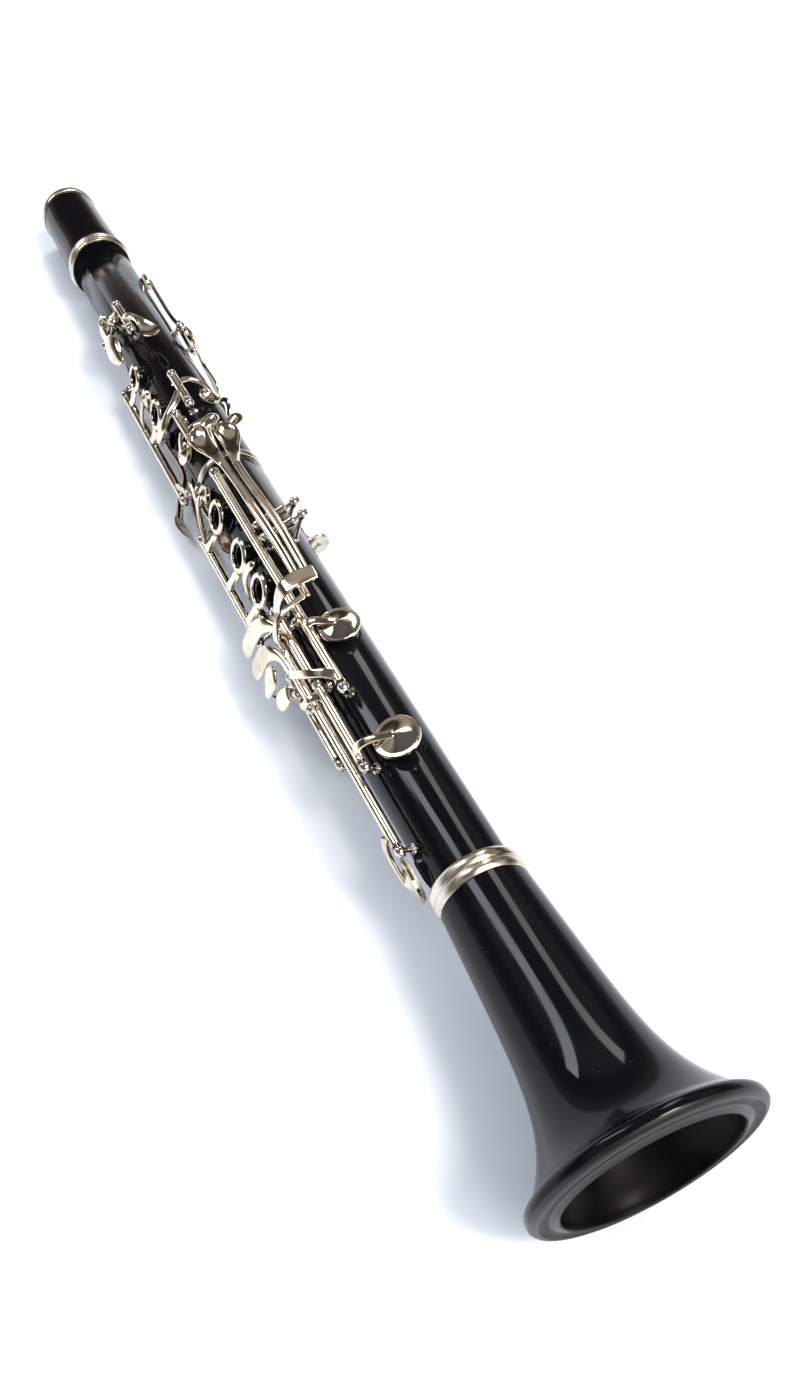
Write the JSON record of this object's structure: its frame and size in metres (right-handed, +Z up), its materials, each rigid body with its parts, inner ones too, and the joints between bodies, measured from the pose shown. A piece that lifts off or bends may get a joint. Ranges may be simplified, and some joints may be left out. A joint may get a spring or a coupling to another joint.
{
  "type": "clarinet",
  "caption": "Clarinet body without mouthpiece, black tube with flared bell, ring keys, long side keys, see-saw levers and sprung pad keys, lying on its side.",
  "frame": {"origin": "centre of the bounding box at the level of the surface the clarinet lies on", "axes": "+X along the clarinet from the barrel to the bell, +Z up, +Y to the thumb side"},
  "size_m": [0.609, 0.0784, 0.0784],
  "materials": {
    "black_plastic": "polished gloss black",
    "polished_nickel": "polished nickel silver, warm",
    "worn_ring_metal": "satin, handled",
    "hinge_steel": "turned steel",
    "pad_skin": "matt skin over felt",
    "tenon_cork": "greased cork"
  },
  "bodies": {
    "body": {"a_flat_hinge": "hinge_steel", "barrel": "black_plastic", "barrel_lower_ring": "worn_ring_metal", "barrel_top_ring": "worn_ring_metal", "bell": "black_plastic", "bell_ring": "worn_ring_metal", "c_sharp_hinge": "hinge_steel", "e_flat_hinge": "hinge_steel", "e_hinge": "hinge_steel", "f_hinge": "hinge_steel", "f_sharp_hinge": "hinge_steel", "lh_e_lever_hinge": "hinge_steel", "lh_f_sharp_lever_hinge": "hinge_steel", "lower_joint": "black_plastic", "lower_ring_hinge": "hinge_steel", "lower_tenon_cork": "tenon_cork", "middle_joint_ring": "worn_ring_metal", "middle_tenon_cork": "tenon_cork", "register_key_hinge": "hinge_steel", "rh_f_hinge": "hinge_steel", "side_key_lower_hinge": "hinge_steel", "side_key_upper_hinge": "hinge_steel", "sliver_hinge": "hinge_steel", "throat_a_hinge": "hinge_steel", "throat_g_sharp_hinge": "hinge_steel", "thumb_rest": "worn_ring_metal", "thumb_ring_hinge": "hinge_steel", "upper_joint": "black_plastic", "upper_ring_hinge": "hinge_steel", "upper_tenon_cork": "tenon_cork"},
    "a_flat_key": {"a_flat_key": "polished_nickel", "a_flat_pad": "pad_skin"},
    "c_sharp_key": {"c_sharp_key": "polished_nickel"},
    "e_flat_key": {"e_flat_key": "polished_nickel"},
    "e_key": {"e_key": "polished_nickel", "e_pad": "pad_skin"},
    "f_key": {"f_key": "polished_nickel", "f_pad": "pad_skin"},
    "f_sharp_key": {"f_sharp_key": "polished_nickel", "f_sharp_pad": "pad_skin"},
    "first_ring_key": {"first_ring_key": "polished_nickel", "ring_vent_pad": "pad_skin"},
    "lh_e_lever": {"lh_e_lever": "polished_nickel"},
    "lh_f_sharp_lever": {"lh_f_sharp_lever": "polished_nickel"},
    "lower_ring_key": {"lower_ring_key": "polished_nickel", "lower_vent_pad": "pad_skin"},
    "register_key": {"register_key": "polished_nickel"},
    "rh_f_key": {"rh_f_key": "polished_nickel"},
    "rh_f_sharp_key": {"rh_f_sharp_key": "polished_nickel"},
    "second_ring_key": {"second_ring_key": "polished_nickel"},
    "side_key_1": {"side_key_1": "polished_nickel"},
    "side_key_2": {"side_key_2": "polished_nickel"},
    "side_key_3": {"side_key_3": "polished_nickel"},
    "side_key_4": {"side_key_4": "polished_nickel"},
    "sliver_key": {"sliver_key": "polished_nickel"},
    "throat_a_key": {"throat_a_key": "polished_nickel", "throat_a_pad": "pad_skin"},
    "throat_g_sharp_key": {"throat_g_sharp_key": "polished_nickel", "throat_g_sharp_pad": "pad_skin"},
    "thumb_ring_key": {"thumb_ring_key": "polished_nickel"}
  },
  "joints": [
    {"name": "a_flat_key_hinge", "type": "hinge", "parent": "body", "child": "a_flat_key", "pos_m": [0.09577, -0.01699, 0.01897], "axis": [-0.9992, 0, -0.0387], "range_deg": [0, 7], "stiffness_Nm_per_rad": 0.02, "springref_deg": -17.19},
    {"name": "c_sharp_key_hinge", "type": "hinge", "parent": "body", "child": "c_sharp_key", "pos_m": [-0.06445, -0.0118, 0.04078], "axis": [-0.9992, 0, -0.0387], "range_deg": [0, 10], "stiffness_Nm_per_rad": 0.02, "springref_deg": -17.19},
    {"name": "e_flat_key_hinge", "type": "hinge", "parent": "body", "child": "e_flat_key", "pos_m": [-0.08832, -0.00496, 0.04337], "axis": [0.9992, 0, 0.0387], "range_deg": [0, 8], "stiffness_Nm_per_rad": 0.02, "springref_deg": -17.19},
    {"name": "e_key_hinge", "type": "hinge", "parent": "body", "child": "e_key", "pos_m": [0.12204, -0.01956, 0.03814], "axis": [0.9992, 0, 0.0387], "range_deg": [0, 9], "stiffness_Nm_per_rad": 0.02, "springref_deg": -17.19},
    {"name": "f_key_hinge", "type": "hinge", "parent": "body", "child": "f_key", "pos_m": [0.12059, -0.01694, 0.0433], "axis": [-0.9992, 0, -0.0387], "range_deg": [0, 10], "stiffness_Nm_per_rad": 0.02, "springref_deg": -17.19},
    {"name": "f_sharp_key_hinge", "type": "hinge", "parent": "body", "child": "f_sharp_key", "pos_m": [0.04044, -0.01068, 0.04563], "axis": [-0.9992, 0, -0.0387], "range_deg": [0, 9.02], "stiffness_Nm_per_rad": 0.02, "springref_deg": -17.19},
    {"name": "first_ring_key_hinge", "type": "hinge", "parent": "body", "child": "first_ring_key", "pos_m": [-0.11927, -0.02013, 0.01316], "axis": [-0.9992, 0, -0.0387], "range_deg": [0, 4.4], "stiffness_Nm_per_rad": 0.02, "springref_deg": -17.19},
    {"name": "lh_e_lever_hinge", "type": "hinge", "parent": "body", "child": "lh_e_lever", "pos_m": [0.01547, -0.00051, 0.05082], "axis": [0.0132, -0.9397, -0.3418], "range_deg": [0, 4.02], "stiffness_Nm_per_rad": 0.02, "springref_deg": -17.19},
    {"name": "lh_f_sharp_lever_hinge", "type": "hinge", "parent": "body", "child": "lh_f_sharp_lever", "pos_m": [0.02397, -0.00051, 0.05115], "axis": [0.0132, -0.9397, -0.3418], "range_deg": [0, 4.42], "stiffness_Nm_per_rad": 0.02, "springref_deg": -17.19},
    {"name": "lower_ring_key_hinge", "type": "hinge", "parent": "body", "child": "lower_ring_key", "pos_m": [0.01428, -0.02156, 0.01717], "axis": [-0.9992, 0, -0.0387], "range_deg": [0, 4.2], "stiffness_Nm_per_rad": 0.02, "springref_deg": -17.19},
    {"name": "register_key_hinge", "type": "hinge", "parent": "body", "child": "register_key", "pos_m": [-0.14727, 0.01796, 0.02809], "axis": [0.0366, 0.3256, -0.9448], "range_deg": [0, 3.5], "stiffness_Nm_per_rad": 0.02, "springref_deg": -17.19},
    {"name": "rh_f_key_hinge", "type": "hinge", "parent": "body", "child": "rh_f_key", "pos_m": [0.09057, -0.01979, 0.03043], "axis": [0.9992, 0, 0.0387], "range_deg": [0, 13.02], "stiffness_Nm_per_rad": 0.02, "springref_deg": -17.19},
    {"name": "rh_f_sharp_key_hinge", "type": "hinge", "parent": "body", "child": "rh_f_sharp_key", "pos_m": [0.07838, -0.01694, 0.04166], "axis": [0.9992, 0, 0.0387], "range_deg": [0, 7.3], "stiffness_Nm_per_rad": 0.02, "springref_deg": -17.19},
    {"name": "second_ring_key_hinge", "type": "hinge", "parent": "body", "child": "second_ring_key", "pos_m": [-0.07705, -0.02013, 0.0148], "axis": [-0.9992, 0, -0.0387], "range_deg": [0, 4.42], "stiffness_Nm_per_rad": 0.02, "springref_deg": -17.19},
    {"name": "side_1_key_hinge", "type": "hinge", "parent": "body", "child": "side_key_1", "pos_m": [-0.10045, -0.00594, 0.00774], "axis": [-0.0087, -0.9744, 0.2248], "range_deg": [0, 3], "stiffness_Nm_per_rad": 0.1, "springref_deg": -17.19},
    {"name": "side_2_key_hinge", "type": "hinge", "parent": "body", "child": "side_key_2", "pos_m": [-0.10041, -0.00166, 0.00675], "axis": [-0.0087, -0.9744, 0.2248], "range_deg": [0, 2.1], "stiffness_Nm_per_rad": 0.1, "springref_deg": -17.19},
    {"name": "side_3_key_hinge", "type": "hinge", "parent": "body", "child": "side_key_3", "pos_m": [-0.14643, -0.00784, 0.00639], "axis": [-0.0087, -0.9744, 0.2248], "range_deg": [0, 2.4], "stiffness_Nm_per_rad": 0.1, "springref_deg": -17.19},
    {"name": "side_4_key_hinge", "type": "hinge", "parent": "body", "child": "side_key_4", "pos_m": [-0.14636, 0.00024, 0.00453], "axis": [-0.0087, -0.9744, 0.2248], "range_deg": [0, 2], "stiffness_Nm_per_rad": 0.1, "springref_deg": -17.19},
    {"name": "sliver_key_hinge", "type": "hinge", "parent": "body", "child": "sliver_key", "pos_m": [0.02942, -0.01352, 0.01373], "axis": [-0.9992, 0, -0.0387], "range_deg": [0, 7], "stiffness_Nm_per_rad": 0.02, "springref_deg": -17.19},
    {"name": "throat_a_key_hinge", "type": "hinge", "parent": "body", "child": "throat_a_key", "pos_m": [-0.16235, -0.01759, 0.03], "axis": [-0.0342, 0.4695, 0.8823], "range_deg": [0, 6], "stiffness_Nm_per_rad": 0.02, "springref_deg": -17.19},
    {"name": "throat_g_sharp_key_hinge", "type": "hinge", "parent": "body", "child": "throat_g_sharp_key", "pos_m": [-0.15988, -0.0098, 0.0384], "axis": [-0.9992, 0, -0.0387], "range_deg": [0, 7.2], "stiffness_Nm_per_rad": 0.02, "springref_deg": -17.19},
    {"name": "thumb_ring_key_hinge", "type": "hinge", "parent": "body", "child": "thumb_ring_key", "pos_m": [-0.09845, 0.01119, 0.00781], "axis": [0.9992, 0, 0.0387], "range_deg": [0, 6], "stiffness_Nm_per_rad": 0.02, "springref_deg": -17.19}
  ],
  "couplings": [
    {"joint": "second_ring_key_hinge", "follows": "lower_ring_key_hinge", "ratio": 1.0476},
    {"joint": "lh_e_lever_hinge", "follows": "e_key_hinge", "ratio": 0.44444},
    {"joint": "lh_f_sharp_lever_hinge", "follows": "rh_f_sharp_key_hinge", "ratio": 0.60274},
    {"joint": "f_sharp_key_hinge", "follows": "rh_f_sharp_key_hinge", "ratio": 1.2329},
    {"joint": "rh_f_key_hinge", "follows": "f_key_hinge", "ratio": 1.3}
  ]
}
